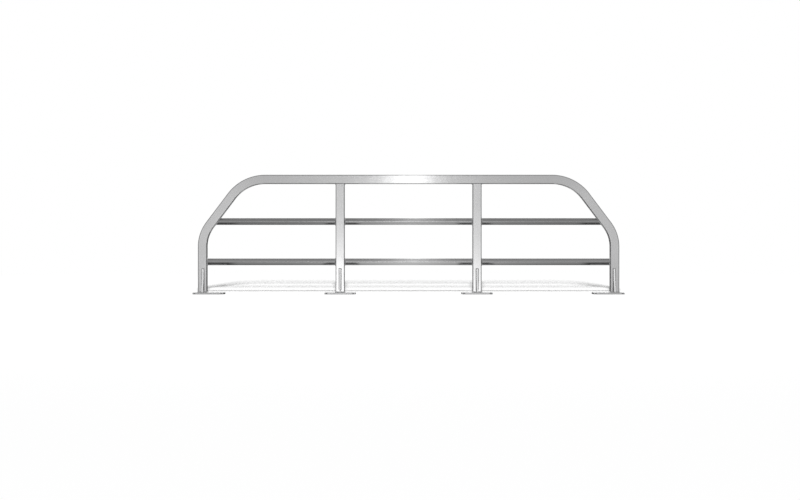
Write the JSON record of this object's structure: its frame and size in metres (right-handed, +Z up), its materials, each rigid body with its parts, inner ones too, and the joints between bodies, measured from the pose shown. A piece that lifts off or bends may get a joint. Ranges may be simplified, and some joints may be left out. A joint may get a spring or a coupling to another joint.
{
  "type": "headache rack",
  "caption": "Bent square-tube headache rack with inner uprights and round cross rails, welded to bolt-down base plates with front gussets.",
  "frame": {"origin": "centre of the rack on the underside of the base plates, in the plane of the tubes", "axes": "+X across the rack towards its right leg as seen from the gusset side, +Y away from the gusset side, +Z up"},
  "size_m": [1.817, 0.13, 0.503],
  "materials": {
    "polished_tube": "polished stainless steel, square tube",
    "polished_rail": "polished stainless steel, round tube",
    "polished_plate": "polished stainless steel plate",
    "weld_bead": "cleaned and lightly polished weld metal"
  },
  "bodies": {
    "root": {"hoop": "polished_tube", "upright_left": "polished_tube", "upright_right": "polished_tube", "mid_rail_left": "polished_rail", "mid_rail_centre": "polished_rail", "mid_rail_right": "polished_rail", "low_rail_left": "polished_rail", "low_rail_centre": "polished_rail", "low_rail_right": "polished_rail", "base_plate_left_leg": "polished_plate", "base_plate_left_upright": "polished_plate", "base_plate_right_upright": "polished_plate", "base_plate_right_leg": "polished_plate", "gusset_left_leg": "polished_plate", "gusset_left_upright": "polished_plate", "gusset_right_upright": "polished_plate", "gusset_right_leg": "polished_plate", "foot_welds": "weld_bead", "gusset_welds": "weld_bead", "rail_welds": "weld_bead", "upright_top_welds": "weld_bead"}
  },
  "joints": []
}
